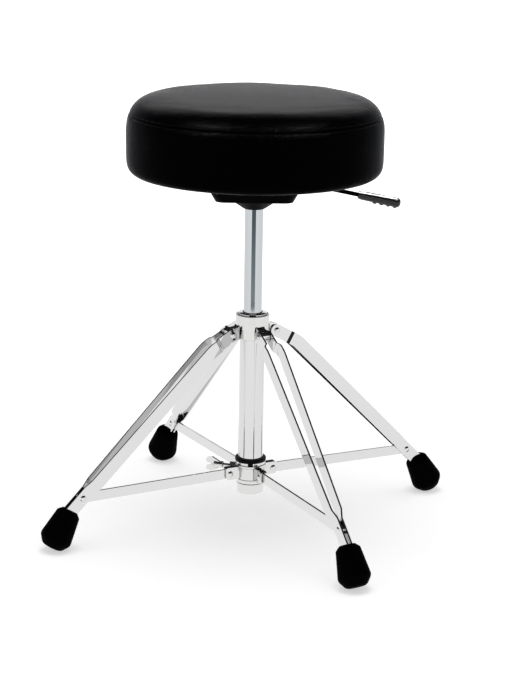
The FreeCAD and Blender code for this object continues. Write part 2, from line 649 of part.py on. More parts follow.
def lever_grip():
    """Moulded grip that thickens to a round end, with four finger ridges below."""
    length = GRIP_END - GRIP_START
    body = turned([(0, 0), (GRIP_R - 1.0, 0, 0.8), (GRIP_R, 5, 2), (GRIP_R + 0.8, length, 5.5), (0, length)])
    ridges = []
    for i in range(RIDGE_COUNT):
        along = length - 7 - RIDGE_PITCH * i
        ridges.append(Part.makeSphere(4.0, Vector(GRIP_R - 1.9, 0, along)))
    grip = fused(body, *ridges)
    grip = grip.cut(Part.makeCylinder(LEVER_R + 0.02, length - 5.4, Vector(0, 0, -0.5)))
    grip.rotate(Vector(0, 0, 0), Vector(0, 1, 0), 90 + LEVER_DROP)
    grip.translate(Vector(LEVER_BEND_X, 0, LEVER_Z) + lever_direction() * GRIP_START)
    return grip


# ---------------------------------------------------------------- write the pieces
def write(node, shape):
    solids = shape.Solids
    for solid in solids:
        if not solid.isValid():
            raise ValueError(node + " has a solid that is not valid")
    whole = solids[0] if len(solids) == 1 else Part.makeCompound(solids)
    whole.exportStep(os.path.join("parts", node + ".step"))
    box = whole.BoundBox
    print("%-18s %2d  z %7.1f to %6.1f  volume %9.0f" % (node, len(solids), box.ZMin, box.ZMax, whole.Volume))


def main():
    os.makedirs("parts", exist_ok=True)
    for make in (column_tube, top_collar, collar_cap, guide_bush, hinge_pins, end_cap, bearing_washer,
                 bearing_race, bearing_balls, piston_rod, rod_clip, piston, piston_seal,
                 lower_collar, lower_bush, ear_rivets, clamp_pad, wing_screw):
        write(make.__name__, make())
    pieces = {"bar_a": leg_bar(1), "bar_b": leg_bar(-1), "foot": foot(), "rivets": leg_rivets()}
    brace = strut()
    for i in range(LEG_COUNT):
        write("strut_%d" % (i + 1), spun(brace, leg_angle(i)))
        for name, shape in pieces.items():
            write("leg_%d_%s" % (i + 1, name), spun(shape, leg_angle(i)))
    for make in (gas_cylinder, cylinder_gland, valve_body, valve_pin, seat_socket, seat_bracket,
                 lever_carrier, lever_pin, lever_rod, lever_grip, seat_bolts, tee_nuts, dust_cover,
                 seat_board, seat_foam, seat_cover):
        write(make.__name__, spun(make(), SEAT_HEADING))


main()
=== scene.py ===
# %% [markdown]
# # A drum throne
# The object is a round padded seat on a gas spring, over a folding stand of flat chromed bars.
# Its hard parts come ready made from the construction model, so this lesson gives them their
# finishes and makes what construction leaves plain: the upholstery, its stitching and the trim.

# %% Load the frame
import json
import math

import bmesh
import bpy
from mathutils import Matrix, Vector
from mathutils.bvhtree import BVHTree

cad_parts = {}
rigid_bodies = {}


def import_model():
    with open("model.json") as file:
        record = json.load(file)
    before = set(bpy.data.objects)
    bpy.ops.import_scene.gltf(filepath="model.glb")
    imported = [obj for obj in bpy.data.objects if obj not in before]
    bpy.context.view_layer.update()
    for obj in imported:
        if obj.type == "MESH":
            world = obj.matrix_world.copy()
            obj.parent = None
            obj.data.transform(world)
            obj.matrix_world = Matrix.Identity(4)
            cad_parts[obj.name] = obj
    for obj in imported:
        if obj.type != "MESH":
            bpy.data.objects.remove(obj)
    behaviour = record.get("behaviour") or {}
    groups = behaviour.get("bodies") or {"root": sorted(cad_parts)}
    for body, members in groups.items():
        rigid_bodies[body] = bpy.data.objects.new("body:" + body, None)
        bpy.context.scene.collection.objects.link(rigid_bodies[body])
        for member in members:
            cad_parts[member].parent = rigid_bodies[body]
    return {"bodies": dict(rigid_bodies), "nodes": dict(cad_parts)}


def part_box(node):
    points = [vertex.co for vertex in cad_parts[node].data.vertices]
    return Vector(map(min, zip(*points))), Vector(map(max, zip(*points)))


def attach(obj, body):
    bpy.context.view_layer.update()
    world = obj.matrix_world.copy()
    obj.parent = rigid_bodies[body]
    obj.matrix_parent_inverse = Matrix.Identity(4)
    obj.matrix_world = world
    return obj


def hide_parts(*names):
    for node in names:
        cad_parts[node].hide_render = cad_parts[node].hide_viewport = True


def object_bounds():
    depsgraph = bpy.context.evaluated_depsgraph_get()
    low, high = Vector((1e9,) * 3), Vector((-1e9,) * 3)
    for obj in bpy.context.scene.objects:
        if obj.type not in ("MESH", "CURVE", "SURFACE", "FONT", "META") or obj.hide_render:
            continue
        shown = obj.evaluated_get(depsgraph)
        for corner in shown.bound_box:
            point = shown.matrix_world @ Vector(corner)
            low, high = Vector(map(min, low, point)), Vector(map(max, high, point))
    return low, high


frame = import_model()
cad_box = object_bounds()
bodies, nodes = frame["bodies"], frame["nodes"]
MM = 0.001

# %% [markdown]
# ## Camera
# A long lens from nearly three metres away keeps the far legs almost as large as the near ones,
# as in a catalogue picture. The camera looks down by fifteen degrees, and stands where the front
# leg of the stand points a little to its right.

# %% Camera
SENSOR = 36.0                    # millimetres, on the long side
LENS = 103.18
HEADING = math.radians(-27.65)   # turn of the camera round the stand
TILT = math.radians(90 - 15.01)  # up from looking straight down
ROLL = math.radians(0.87)
STATION = Vector((0.004, -2.696, 0.983))   # metres, before the turn round the stand
TO_CAMERA = (math.sin(HEADING), -math.cos(HEADING), 0.0)   # level direction from the column

camera_data = bpy.data.cameras.new("camera")
camera_data.sensor_width = SENSOR
camera_data.lens = LENS
camera = bpy.data.objects.new("camera", camera_data)
bpy.context.scene.collection.objects.link(camera)
camera.matrix_world = (Matrix.Rotation(HEADING, 4, "Z") @ Matrix.Translation(STATION)
                       @ Matrix.Rotation(TILT, 4, "X") @ Matrix.Rotation(ROLL, 4, "Z"))
bpy.context.scene.camera = camera
print("camera at", [round(c, 3) for c in camera.matrix_world.translation])

# %% [markdown]
# ## Colours and nodes
# Colours are written as hex values, as a paint chart gives them, and a shader wants them
# linear, so one function turns them. A second one adds a node with its settings and its links,
# which keeps every material short enough to read.


# %% Helpers for materials
def linear(code):
    """Linear RGBA from an sRGB hex value such as 1A2B3C."""
    channels = [int(code[i:i + 2], 16) / 255 for i in (0, 2, 4)]
    return [c / 12.92 if c <= 0.04045 else ((c + 0.055) / 1.055) ** 2.4 for c in channels] + [1.0]


def add(tree, kind, inputs=None, **settings):
    """A node with its settings. inputs maps a socket to a value or to another node's output."""
    made = tree.nodes.new("ShaderNode" + kind)
    for name, value in settings.items():
        setattr(made, name, value)
    for socket, value in (inputs or {}).items():
        if isinstance(value, bpy.types.NodeSocket):
            tree.links.new(value, made.inputs[socket])
        else:
            made.inputs[socket].default_value = value
    return made


def new_finish(name, colour, **sockets):
    """A material with one Principled shader. Sockets are named with underscores for spaces."""
    material = bpy.data.materials.new(name)
    material.use_nodes = True
    tree = material.node_tree
    shader = tree.nodes["Principled BSDF"]
    shader.inputs["Base Color"].default_value = linear(colour)
    for socket, value in sockets.items():
        shader.inputs[socket.replace("_", " ")].default_value = value
    place = add(tree, "TexCoord").outputs["Object"]
    return material, tree, shader, place


def per_metre(millimetres):
    """Texture scale at which one cell is that many millimetres."""
    return 1000.0 / millimetres


def vary_colour(tree, shader, pattern, low, high):
    """Gives a surface a colour that goes from one hex value to another with a 0 to 1 pattern."""
    tone = add(tree, "Mix", {0: pattern, 6: linear(low), 7: linear(high)}, data_type="RGBA")
    tree.links.new(tone.outputs[2], shader.inputs["Base Color"])


def vary_gloss(tree, shader, pattern, low, high):
    """Gives a surface a roughness that goes from low to high with a 0 to 1 pattern."""
    rough = add(tree, "MapRange", {"Value": pattern, "To Min": low, "To Max": high})
    tree.links.new(rough.outputs["Result"], shader.inputs["Roughness"])


def raise_surface(tree, shader, height, millimetres):
    """Gives a surface a relief of the given depth from a 0 to 1 pattern."""
    bump = add(tree, "Bump", {"Strength": 1.0, "Distance": millimetres * MM, "Height": height})
    tree.links.new(bump.outputs["Normal"], shader.inputs["Normal"])


print("mid grey is", round(linear("808080")[0], 3), "in linear light")

# %% [markdown]
# ## Studio
# Polished chrome is a mirror: it has no look of its own and shows the room. The room is a white
# sweep with level light on it. Only reflections show that the white ends a little above the
# horizon and the ceiling is dark, which gives the bars their thin dark edges. The sweep is
# brightest on the camera's side, and there a dark gap in it puts a stripe down the gas spring.

# %% World
WHITE = "FFFFFF"
AMBIENT = 0.50                   # radiance of the room for matt surfaces
SWEEP_FAR, SWEEP_NEAR = 1.10, 1.32   # in a mirror, behind the stand and on the camera's side
SWEEP_TOP = math.sin(math.radians(15.5))     # height in a mirror where the white ends
CEILING_LOW = math.sin(math.radians(18.0))   # and where the ceiling begins


def fill_ramp(ramp, stops):
    """Gives a colour ramp its stops, from (place, hex colour) pairs."""
    while len(ramp.elements) < len(stops):
        ramp.elements.new(1.0)
    for element, (place, colour) in zip(ramp.elements, stops):
        element.position = place
        element.color = linear(colour)


def sweep_strength(tree, vector, reach):
    """Radiance of the sweep from a direction, or from a place on the floor within a reach."""
    facing = add(tree, "VectorMath", {0: vector, 1: TO_CAMERA}, operation="DOT_PRODUCT")
    return add(tree, "MapRange", {"Value": facing.outputs["Value"],
                                  "From Min": -reach, "From Max": reach,
                                  "To Min": SWEEP_FAR, "To Max": SWEEP_NEAR}).outputs["Result"]


def mirrored(tree, ray):
    """1 for a ray that metal or glass sends on, so that they show the backdrop too."""
    return add(tree, "Math", {0: ray.outputs["Is Glossy Ray"],
                              1: ray.outputs["Is Transmission Ray"]},
               operation="MAXIMUM").outputs[0]


world = bpy.data.worlds.new("studio")
world.use_nodes = True
bpy.context.scene.world = world
sky = world.node_tree
sky.nodes.clear()
ray = add(sky, "LightPath")
toward = add(sky, "TexCoord").outputs["Generated"]
height = add(sky, "SeparateXYZ", {"Vector": toward}).outputs["Z"]
share = add(sky, "MapRange", {"Value": height, "From Min": -1.0, "From Max": 1.0})
room = add(sky, "ValToRGB", {"Fac": share.outputs["Result"]})
fill_ramp(room.color_ramp, [(0.0, WHITE), ((1 + SWEEP_TOP) / 2, WHITE),
                            ((1 + CEILING_LOW) / 2, "2A2D30"), (0.80, "1C1E20"), (1.0, "303336")])
seen_by_metal = add(sky, "Background", {"Color": room.outputs["Color"],
                                        "Strength": sweep_strength(sky, toward, 1.0)})
seen_by_matt = add(sky, "Background", {"Color": linear(WHITE), "Strength": AMBIENT})
backdrop = add(sky, "Background", {"Color": linear(WHITE), "Strength": 1.0})
lit = add(sky, "MixShader", {0: mirrored(sky, ray), 1: seen_by_matt.outputs[0],
                             2: seen_by_metal.outputs[0]})
shown = add(sky, "MixShader", {0: ray.outputs["Is Camera Ray"], 1: lit.outputs[0],
                               2: backdrop.outputs[0]})
add(sky, "OutputWorld", {"Surface": shown.outputs[0]})
bpy.context.scene.view_settings.view_transform = "Standard"
print("world nodes", len(sky.nodes))

# %% [markdown]
# ## Floor, card and softbox
# The floor is white paper. Under the stand it takes a soft shadow, and further out it glows as
# white as the backdrop, so that no edge shows. The dark gap is a card that lies on the floor on
# the camera's side and shows only in mirrors. A round softbox overhead lights the matt parts.

# %% Paper floor
FLOOR_SIZE = 14.0
FLOOR_WHITE = 1.55               # lifts the lit floor to the white of the backdrop
FLOOR_GLOW = 0.35                # share of that white under the stand
FADE_START, FADE_END = 0.75, 1.5     # metres from the column to where no shadow shows
FLOOR_REACH = 2.5                # metres over which the sweep changes from far to near


def new_piece(name, form, smooth=False):
    """Object at the origin from a bmesh."""
    for face in form.faces:
        face.smooth = smooth
    mesh = bpy.data.meshes.new(name)
    form.to_mesh(mesh)
    form.free()
    piece = bpy.data.objects.new(name, mesh)
    bpy.context.scene.collection.objects.link(piece)
    return piece


paper = bpy.data.materials.new("white paper sweep")
paper.use_nodes = True
tree = paper.node_tree
tree.nodes.clear()
ray = add(tree, "LightPath")
place = add(tree, "TexCoord").outputs["Object"]
away = add(tree, "VectorMath", {0: place}, operation="LENGTH").outputs["Value"]
fade = add(tree, "MapRange", {"Value": away, "From Min": FADE_START, "From Max": FADE_END,
                              "To Min": FLOOR_GLOW, "To Max": 1.0})
matt = add(tree, "BsdfDiffuse", {"Color": linear("F0F0F0")})
glow = add(tree, "Emission", {"Color": linear(WHITE), "Strength": FLOOR_WHITE})
pale = add(tree, "MixShader", {0: fade.outputs[0], 1: matt.outputs[0], 2: glow.outputs[0]})
shine = add(tree, "Emission", {"Color": linear(WHITE),
                               "Strength": sweep_strength(tree, place, FLOOR_REACH)})
seen = add(tree, "MixShader", {0: ray.outputs["Is Camera Ray"], 1: matt.outputs[0],
                               2: pale.outputs[0]})
surface = add(tree, "MixShader", {0: mirrored(tree, ray), 1: seen.outputs[0],
                                  2: shine.outputs[0]})
add(tree, "OutputMaterial", {"Surface": surface.outputs[0]})
form = bmesh.new()
bmesh.ops.create_grid(form, x_segments=1, y_segments=1, size=FLOOR_SIZE / 2)
bmesh.ops.translate(form, vec=(0, 0, cad_box[0].z - 0.3 * MM), verts=form.verts)
floor = new_piece("floor", form)
floor.data.materials.append(paper)
print("floor", [round(side, 2) for side in floor.dimensions])

# %% Dark gap in the sweep, and the softbox
CARD_NEAR, CARD_FAR = 1.26, 2.8  # metres from the column
CARD_HALF = math.radians(25)     # half its width, seen from the column
CARD_TONES = [(0.0, "060606"), (0.05, "8E979B"), (0.25, "7C868A"), (0.6, "5A6468"),
              (1.0, "50585C")]   # from its near edge to its far edge
CARD_GLOW = 1.35
SOFTBOX_ACROSS, SOFTBOX_UP = 1.5, 2.4    # metres
SOFTBOX_WATTS = 31.0

card_black = bpy.data.materials.new("dark gap in the sweep")
card_black.use_nodes = True
tree = card_black.node_tree
tree.nodes.clear()
place = add(tree, "TexCoord").outputs["Object"]
away = add(tree, "VectorMath", {0: place}, operation="LENGTH").outputs["Value"]
shade = add(tree, "MapRange", {"Value": away, "From Min": CARD_NEAR, "From Max": CARD_FAR})
dark = add(tree, "ValToRGB", {"Fac": shade.outputs["Result"]})
fill_ramp(dark.color_ramp, CARD_TONES)
dim = add(tree, "Emission", {"Color": dark.outputs["Color"], "Strength": CARD_GLOW})
add(tree, "OutputMaterial", {"Surface": dim.outputs[0]})
form = bmesh.new()
ends = [form.verts.new((0, -away, cad_box[0].z + 2 * MM)) for away in (CARD_NEAR, CARD_FAR)]
edge = form.edges.new(ends)
bmesh.ops.rotate(form, cent=(0, 0, 0), matrix=Matrix.Rotation(HEADING - CARD_HALF, 3, "Z"),
                 verts=ends)
bmesh.ops.spin(form, geom=ends + [edge], cent=(0, 0, 0), axis=(0, 0, 1), angle=2 * CARD_HALF,
               steps=16)
card = new_piece("camera_card", form)
card.data.materials.append(card_black)
card.visible_camera = False
card.visible_diffuse = False
card.visible_shadow = False

softbox_data = bpy.data.lights.new("softbox", "AREA")
softbox_data.shape = "DISK"
softbox_data.size = SOFTBOX_ACROSS
softbox_data.energy = SOFTBOX_WATTS
softbox = bpy.data.objects.new("softbox", softbox_data)
softbox.location = (0, 0, SOFTBOX_UP)
softbox.visible_glossy = False
bpy.context.scene.collection.objects.link(softbox)

print("staged", floor.name, card.name, softbox.name)

# %% [markdown]
# ## Chrome and steel
# Decorative chrome is a thin hard layer over nickel on polished steel. It is nearly neutral, and
# its only roughness is faint polishing haze. The flat bars are stamped and plated, so their
# faces are not quite flat, and the reflections in them waver a little. Castings have narrow
# gaps and corners where each wall mirrors the other wall's shade, and on top of that, shade is
# painted into the colour of their creases, so the creases go dark.

# %% Bright chrome plate
HAZE_MM = 9                      # grain of the polishing haze
PAINTED_SHADE_SHUT, PAINTED_SHADE_OPEN = 0.45, 0.88    # openness at which the painted crease shade is darkest, and is gone


def plated(name, colour, wave_mm, wave_depth_mm, haze, painted_crease_shade_mm=0.0):
    """Bright plate: a slow waver in the surface, a little uneven haze, and shade painted into
    creases.
    """
    material, tree, shader, place = new_finish(name, colour, Metallic=1.0)
    slow = add(tree, "TexNoise", {"Vector": place, "Scale": per_metre(wave_mm), "Detail": 1.0})
    fine = add(tree, "TexNoise", {"Vector": place, "Scale": per_metre(HAZE_MM), "Detail": 4.0})
    vary_gloss(tree, shader, fine.outputs[0], haze * 0.5, haze * 1.6)
    raise_surface(tree, shader, slow.outputs[0], wave_depth_mm)
    # Painted shade: where ambient occlusion finds a crease, the colour is darkened towards 0C0D0F.
    if painted_crease_shade_mm:
        near = add(tree, "AmbientOcclusion", {"Distance": painted_crease_shade_mm * MM}, samples=8)
        bright = add(tree, "MapRange", {"Value": near.outputs["AO"],
                                        "From Min": PAINTED_SHADE_SHUT, "From Max": PAINTED_SHADE_OPEN})
        vary_colour(tree, shader, bright.outputs["Result"], "0C0D0F", colour)
    return material


# Rolled bar wavers most, and drawn tube hardly at all. Ground tube under hard chrome is straight
# and greyer. A casting keeps the fine unevenness of its die and gets shade painted into its
# creases; a turned cap has no creases and gets no painted shade.
bar_chrome = plated("bright chrome on rolled bar", "CCCCCC", 40, 0.10, 0.04)
tube_chrome = plated("bright chrome on drawn tube", "CBCBCC", 120, 0.05, 0.04)
hard_chrome = plated("hard chrome on ground tube", "BABDBF", 120, 0.03, 0.05)
cast_chrome = plated("bright chrome on die casting", "CCCCCB", 14, 0.04, 0.06, painted_crease_shade_mm=3.0)
cap_chrome = plated("bright chrome on turned cap", "CCCCCB", 14, 0.04, 0.06)
chromes = (bar_chrome, tube_chrome, hard_chrome, cast_chrome, cap_chrome)
print("chromes", [m.name for m in chromes])

# %% [markdown]
# The small metal parts are bare or zinc plated. Grinding and turning leave fine rings that dull
# the metal and draw its highlights out across them, and zinc plate is an even pale grey. One
# noise pattern makes both, drawn out along the rings or left even.

# %% Ground steel, zinc plate and machined aluminium
TURNED = (0.05, 0.05, 1.0)       # tool marks drawn out round the part, tight along it
EVEN = (1.0, 1.0, 1.0)


def worked_metal(name, colour, mark_mm, roughness, stretch):
    """Metal with fine marks in its gloss and its surface."""
    material, tree, shader, place = new_finish(name, colour, Metallic=1.0)
    scaled = add(tree, "Mapping", {"Vector": place, "Scale": stretch})
    marks = add(tree, "TexNoise", {"Vector": scaled.outputs[0], "Scale": per_metre(mark_mm),
                                   "Detail": 3.0})
    vary_gloss(tree, shader, marks.outputs[0], roughness * 0.7, roughness * 1.3)
    raise_surface(tree, shader, marks.outputs[0], 0.02)
    return material


ground_steel = worked_metal("ground bearing steel", "C3C5C7", 1.5, 0.22, TURNED)
zinc_plate = worked_metal("clear zinc plate", "BFC4C6", 3.0, 0.34, EVEN)
turned_aluminium = worked_metal("turned aluminium", "D2D3D4", 0.8, 0.30, TURNED)
print("metals", ground_steel.name, zinc_plate.name, turned_aluminium.name)

# %% [markdown]
# ## Black parts
# Several blacks meet on a throne, and only their gloss and grain tell them apart: powder coat
# with its orange peel, satin nylon, a glossy moulded grip, and dull rubber. Such a finish starts
# from an IOR near 1.5. On this object the blacks give back so little of a white room that all
# but the grip and the oily seal are matched with an IOR far below that.

# %% Moulded and coated blacks
PATCH_MM = 30                    # size of the slow changes of gloss
PATCH_CHANGE = 0.06


def grained(name, colour, grain_mm, depth_mm, roughness, **sockets):
    """Opaque finish with an even fine grain, and a slow change of gloss over it."""
    material, tree, shader, place = new_finish(name, colour, **sockets)
    grain = add(tree, "TexNoise", {"Vector": place, "Scale": per_metre(grain_mm), "Detail": 3.0})
    patch = add(tree, "TexNoise", {"Vector": place, "Scale": per_metre(PATCH_MM), "Detail": 2.0})
    vary_gloss(tree, shader, patch.outputs[0], roughness - PATCH_CHANGE, roughness + PATCH_CHANGE)
    raise_surface(tree, shader, grain.outputs[0], depth_mm)
    return material


powder_coat = grained("black powder coat", "030303", 1.4, 0.05, 0.42, IOR=1.07)
nylon = grained("black moulded nylon", "040404", 0.8, 0.02, 0.40, IOR=1.15)
grip_plastic = grained("black moulded polypropylene", "030303", 0.9, 0.01, 0.18, IOR=1.45)
rubber = grained("black moulded rubber", "020202", 1.1, 0.16, 0.72, IOR=1.06)
seal_rubber = grained("nitrile rubber", "141414", 0.7, 0.02, 0.50, IOR=1.52)
print("blacks", [m.name for m in (powder_coat, nylon, grip_plastic, rubber, seal_rubber)])

# %% [markdown]
# ## Vinyl
# The cover is expanded vinyl on a cloth back. Its leather grain is rolled in hot: small flat
# pebbles with fine valleys between them, a bit more than a millimetre across. A cell pattern
# gives the pebbles, and noise bends and clusters them. The pebbles are a bit glossier than the
# valleys, and the relief spreads a reflection into a soft sheen. The IOR is matched like that of
# the other blacks and is far lower than real vinyl's. The room alone then puts a sheen on the
# flat of the seat but not on its shoulder, which needs the lamps further on.

# %% Leather-grain vinyl
GRAIN_MM = 1.6
WARP_MM, CLUSTER_MM, PATCH_OF_GLOSS_MM = 5, 7, 45
BEND = Vector((1, 1, 1)) * 1.6 * MM      # how far the noise moves a pebble's edge
EDGE = 0.28                      # width of a pebble's rounded edge, as a share of a cell
PATCHES, CLUSTERS = 0.6, 0.55    # shares of the slow noise in the gloss and of the clusters
DULL, GLOSSY = 0.22, 0.15        # roughness in the valleys and on the pebbles
RELIEF_MM = 0.20
vinyl, tree, shader, place = new_finish("leather-grain vinyl", "060607", IOR=1.031,
                                        Sheen_Weight=0.03, Sheen_Roughness=0.3,
                                        Sheen_Tint=linear("A8BCFF"))
warp = add(tree, "TexNoise", {"Vector": place, "Scale": per_metre(WARP_MM), "Detail": 2.0})
bent = add(tree, "VectorMath", {0: warp.outputs["Color"], 1: BEND}, operation="MULTIPLY")
moved = add(tree, "VectorMath", {0: place, 1: bent.outputs[0]}, operation="ADD")
pebble = add(tree, "TexVoronoi", {"Vector": moved.outputs[0], "Scale": per_metre(GRAIN_MM)},
             feature="DISTANCE_TO_EDGE")
dome = add(tree, "MapRange", {"Value": pebble.outputs["Distance"], "From Min": 0.0,
                              "From Max": EDGE}, interpolation_type="SMOOTHSTEP")
slow = add(tree, "TexNoise", {"Vector": place, "Scale": per_metre(PATCH_OF_GLOSS_MM),
                              "Detail": 3.0})
gloss = add(tree, "Mix", {0: PATCHES, 2: dome.outputs[0], 3: slow.outputs[0]},
            data_type="FLOAT")
vary_gloss(tree, shader, gloss.outputs[0], DULL, GLOSSY)
vary_colour(tree, shader, dome.outputs[0], "010101", "040405")
cluster = add(tree, "TexNoise", {"Vector": place, "Scale": per_metre(CLUSTER_MM), "Detail": 3.0})
relief = add(tree, "Mix", {0: CLUSTERS, 2: dome.outputs[0], 3: cluster.outputs[0]},
             data_type="FLOAT")
raise_surface(tree, shader, relief.outputs[0], RELIEF_MM)
print("vinyl nodes", len(tree.nodes))

# %% [markdown]
# Inside and under the vinyl are three more materials. The spun-bonded lining is pressed with
# fine dots and has no gloss, the birch board shows drawn-out grain, and the foam has open cells.
# The sewing thread is bonded polyester with a satin face; its twist is drawn a few times coarser
# than it is, so that it shows.

# %% Cloth, board, foam and thread
lining, tree, shader, place = new_finish("black spun-bonded lining", "0B0B0B", Roughness=0.9)
shader.inputs["Sheen Weight"].default_value = 0.2
dots = add(tree, "TexVoronoi", {"Vector": place, "Scale": per_metre(1.8)})
raise_surface(tree, shader, dots.outputs["Distance"], 0.12)

plywood, tree, shader, place = new_finish("birch plywood", "C9A574", Roughness=0.65)
drawn = add(tree, "Mapping", {"Vector": place, "Scale": (0.08, 1.0, 4.0)})
grain = add(tree, "TexNoise", {"Vector": drawn.outputs[0], "Scale": per_metre(4), "Detail": 5.0})
vary_colour(tree, shader, grain.outputs[0], "A47B4B", "D9B988")
raise_surface(tree, shader, grain.outputs[0], 0.08)

foam, tree, shader, place = new_finish("moulded polyurethane foam", "D9D0B0", Roughness=0.95)
cells = add(tree, "TexVoronoi", {"Vector": place, "Scale": per_metre(1.2)})
raise_surface(tree, shader, cells.outputs["Distance"], 0.3)

thread, tree, shader, place = new_finish("bonded polyester thread", "060607", Roughness=0.45,
                                         IOR=1.2)
twist = add(tree, "TexWave", {"Vector": place, "Scale": per_metre(4), "Distortion": 1.0},
            bands_direction="DIAGONAL")
raise_surface(tree, shader, twist.outputs["Fac"], 0.08)
print("soft finishes", [m.name for m in (lining, plywood, foam, thread)])

# %% [markdown]
# ## Finishes on the construction model
# Every ready-made part takes a finish by its name. Tubes, bars and castings are all chromed but
# were shaped differently, so each kind has its own chrome. The four legs are alike.

# %% Dress the ready-made parts
FINISHES = {
    "column_tube": tube_chrome, "gas_cylinder": hard_chrome, "top_collar": cast_chrome,
    "collar_cap": cap_chrome, "end_cap": cast_chrome, "lower_collar": cast_chrome,
    "wing_screw": cast_chrome, "ear_rivets": cast_chrome, "hinge_pins": ground_steel,
    "bearing_washer": ground_steel, "bearing_race": ground_steel, "bearing_balls": ground_steel,
    "piston_rod": ground_steel, "rod_clip": ground_steel, "cylinder_gland": ground_steel,
    "valve_pin": ground_steel, "lever_pin": ground_steel, "piston": turned_aluminium,
    "valve_body": turned_aluminium, "piston_seal": seal_rubber, "guide_bush": nylon,
    "lower_bush": nylon, "clamp_pad": nylon, "seat_socket": powder_coat,
    "seat_bracket": powder_coat, "lever_carrier": powder_coat, "lever_rod": powder_coat,
    "lever_grip": grip_plastic, "seat_bolts": zinc_plate, "tee_nuts": zinc_plate,
    "dust_cover": lining, "seat_board": plywood, "seat_foam": foam, "seat_cover": vinyl,
}
LEG_FINISHES = {"bar_a": bar_chrome, "bar_b": bar_chrome, "foot": rubber, "rivets": cast_chrome}
LEGS = [name for name in bodies if name.startswith("leg_")]
for leg in LEGS:
    FINISHES["strut_" + leg[-1]] = bar_chrome
    for part, material in LEG_FINISHES.items():
        FINISHES[leg + "_" + part] = material
for name, node in nodes.items():
    node.data.materials.clear()
    node.data.materials.append(FINISHES[name])
print("dressed", len(nodes), "parts")

# %% [markdown]
# ## Seat cushion
# The cushion is a block of firm foam with vinyl pulled tight over it. Its section is drawn once
# and spun round the column, then it is rebuilt as even small squares, so that a short cloth
# simulation can fill it: the top crowns and the side band swells a little. The underside
# is stapled to a board and stays where it is.

# %% Section of the cushion
seat_low, seat_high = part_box("seat_cover")
SEAT_R = (seat_high.x - seat_low.x) / 2
TOP_ROUND, BOTTOM_ROUND = 38 * MM, 16 * MM   # radii of the two edges
SLACK = 0.2 * MM                 # how much smaller the form starts, before it fills
CROWN = 3.0 * MM                 # how far the middle of the top stands over its rim
RISE = 5.3 * MM                  # how far the middle stands over the construction model
SAG = 4.2 * MM                   # how far the lower edge bulges under the board
HEM_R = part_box("dust_cover")[1].x + 0.8 * MM
HEM_RISE = 1.8 * MM              # recess of the underside inside the hem


def arc(centre_r, centre_z, radius, start, end, steps):
    """Points (r, z) of an arc between two angles in degrees."""
    points = []
    for i in range(steps + 1):
        angle = math.radians(start + (end - start) * i / steps)
        points.append((centre_r + radius * math.cos(angle), centre_z + radius * math.sin(angle)))
    return points


def spun_piece(name, section, steps):
    """Mesh of (r, z) points spun once round the column, with poles and seam closed."""
    form = bmesh.new()
    corners = [form.verts.new((r, 0, z)) for r, z in section]
    edges = [form.edges.new(pair) for pair in zip(corners, corners[1:])]
    bmesh.ops.spin(form, geom=corners + edges, cent=(0, 0, 0), axis=(0, 0, 1), angle=math.tau,
                   steps=steps, use_merge=True)
    bmesh.ops.remove_doubles(form, verts=form.verts, dist=1e-6)
    bmesh.ops.recalc_face_normals(form, faces=form.faces)
    return new_piece(name, form, smooth=True)


side, low, top = SEAT_R - SLACK, seat_low.z + SLACK, seat_high.z + RISE - SLACK
section = [(0, low), (0.5 * side, low), (HEM_R + 2 * MM, low)]
section += arc(side - BOTTOM_ROUND, low - SAG + BOTTOM_ROUND, BOTTOM_ROUND, -90, 0, 6)
section += arc(side - TOP_ROUND, top - CROWN - TOP_ROUND, TOP_ROUND, 0, 86, 12)
section += [(r * (side - TOP_ROUND), top - CROWN * r * r) for r in (0.85, 0.7, 0.5, 0.3, 0.15, 0)]
cushion = spun_piece("seat_cushion", section, steps=96)
print("section points", len(section), "faces", len(cushion.data.polygons))

# %% Fill the cushion
VOXEL = 5 * MM
PRESSURE = 4.0
FRAMES = 20
STIFFNESS = 60.0                 # backed vinyl hardly stretches
HELD = BOTTOM_ROUND * 0.3        # height up to which the cover is stapled
MOST_MOVE = 0.8 * MM             # firm foam: the cover can't leave its form by more
SMOOTHING = 3                    # passes that take out the smallest wrinkles


def applied(piece):
    """Replaces the mesh by the one that the modifiers make."""
    depsgraph = bpy.context.evaluated_depsgraph_get()
    mesh = bpy.data.meshes.new_from_object(piece.evaluated_get(depsgraph), depsgraph=depsgraph)
    piece.modifiers.clear()
    piece.data = mesh


remesh = cushion.modifiers.new("squares", "REMESH")
remesh.mode = "VOXEL"
remesh.voxel_size = VOXEL
applied(cushion)
rest = [v.co.copy() for v in cushion.data.vertices]
held = cushion.vertex_groups.new(name="stapled")
held.add([v.index for v in cushion.data.vertices if v.co.z < low + HELD], 1.0, "REPLACE")
cloth = cushion.modifiers.new("fill", "CLOTH")
cloth.settings.use_pressure = True
cloth.settings.uniform_pressure_force = PRESSURE
cloth.settings.effector_weights.gravity = 0
cloth.settings.tension_stiffness = STIFFNESS
cloth.settings.compression_stiffness = STIFFNESS
cloth.settings.vertex_group_mass = "stapled"
cloth.point_cache.frame_start = 1
cloth.point_cache.frame_end = FRAMES
for step in range(1, FRAMES + 1):
    bpy.context.scene.frame_set(step)
applied(cushion)
bpy.context.scene.frame_set(1)
moves = []
for vert, start in zip(cushion.data.vertices, rest):
    move = vert.co - start
    moves.append(move.length)
    if move.length > MOST_MOVE:
        vert.co = start + move * (MOST_MOVE / move.length)
form = bmesh.new()
form.from_mesh(cushion.data)
for _ in range(SMOOTHING):
    bmesh.ops.smooth_vert(form, verts=form.verts, factor=0.5,
                          use_axis_x=True, use_axis_y=True, use_axis_z=True)
form.to_mesh(cushion.data)
form.free()
print("filled, longest move", round(max(moves) / MM, 1), "mm, capped at", MOST_MOVE / MM)
smooth = cushion.modifiers.new("smooth", "SUBSURF")
smooth.levels = smooth.render_levels = 1
applied(cushion)
print("cushion faces", len(cushion.data.polygons))

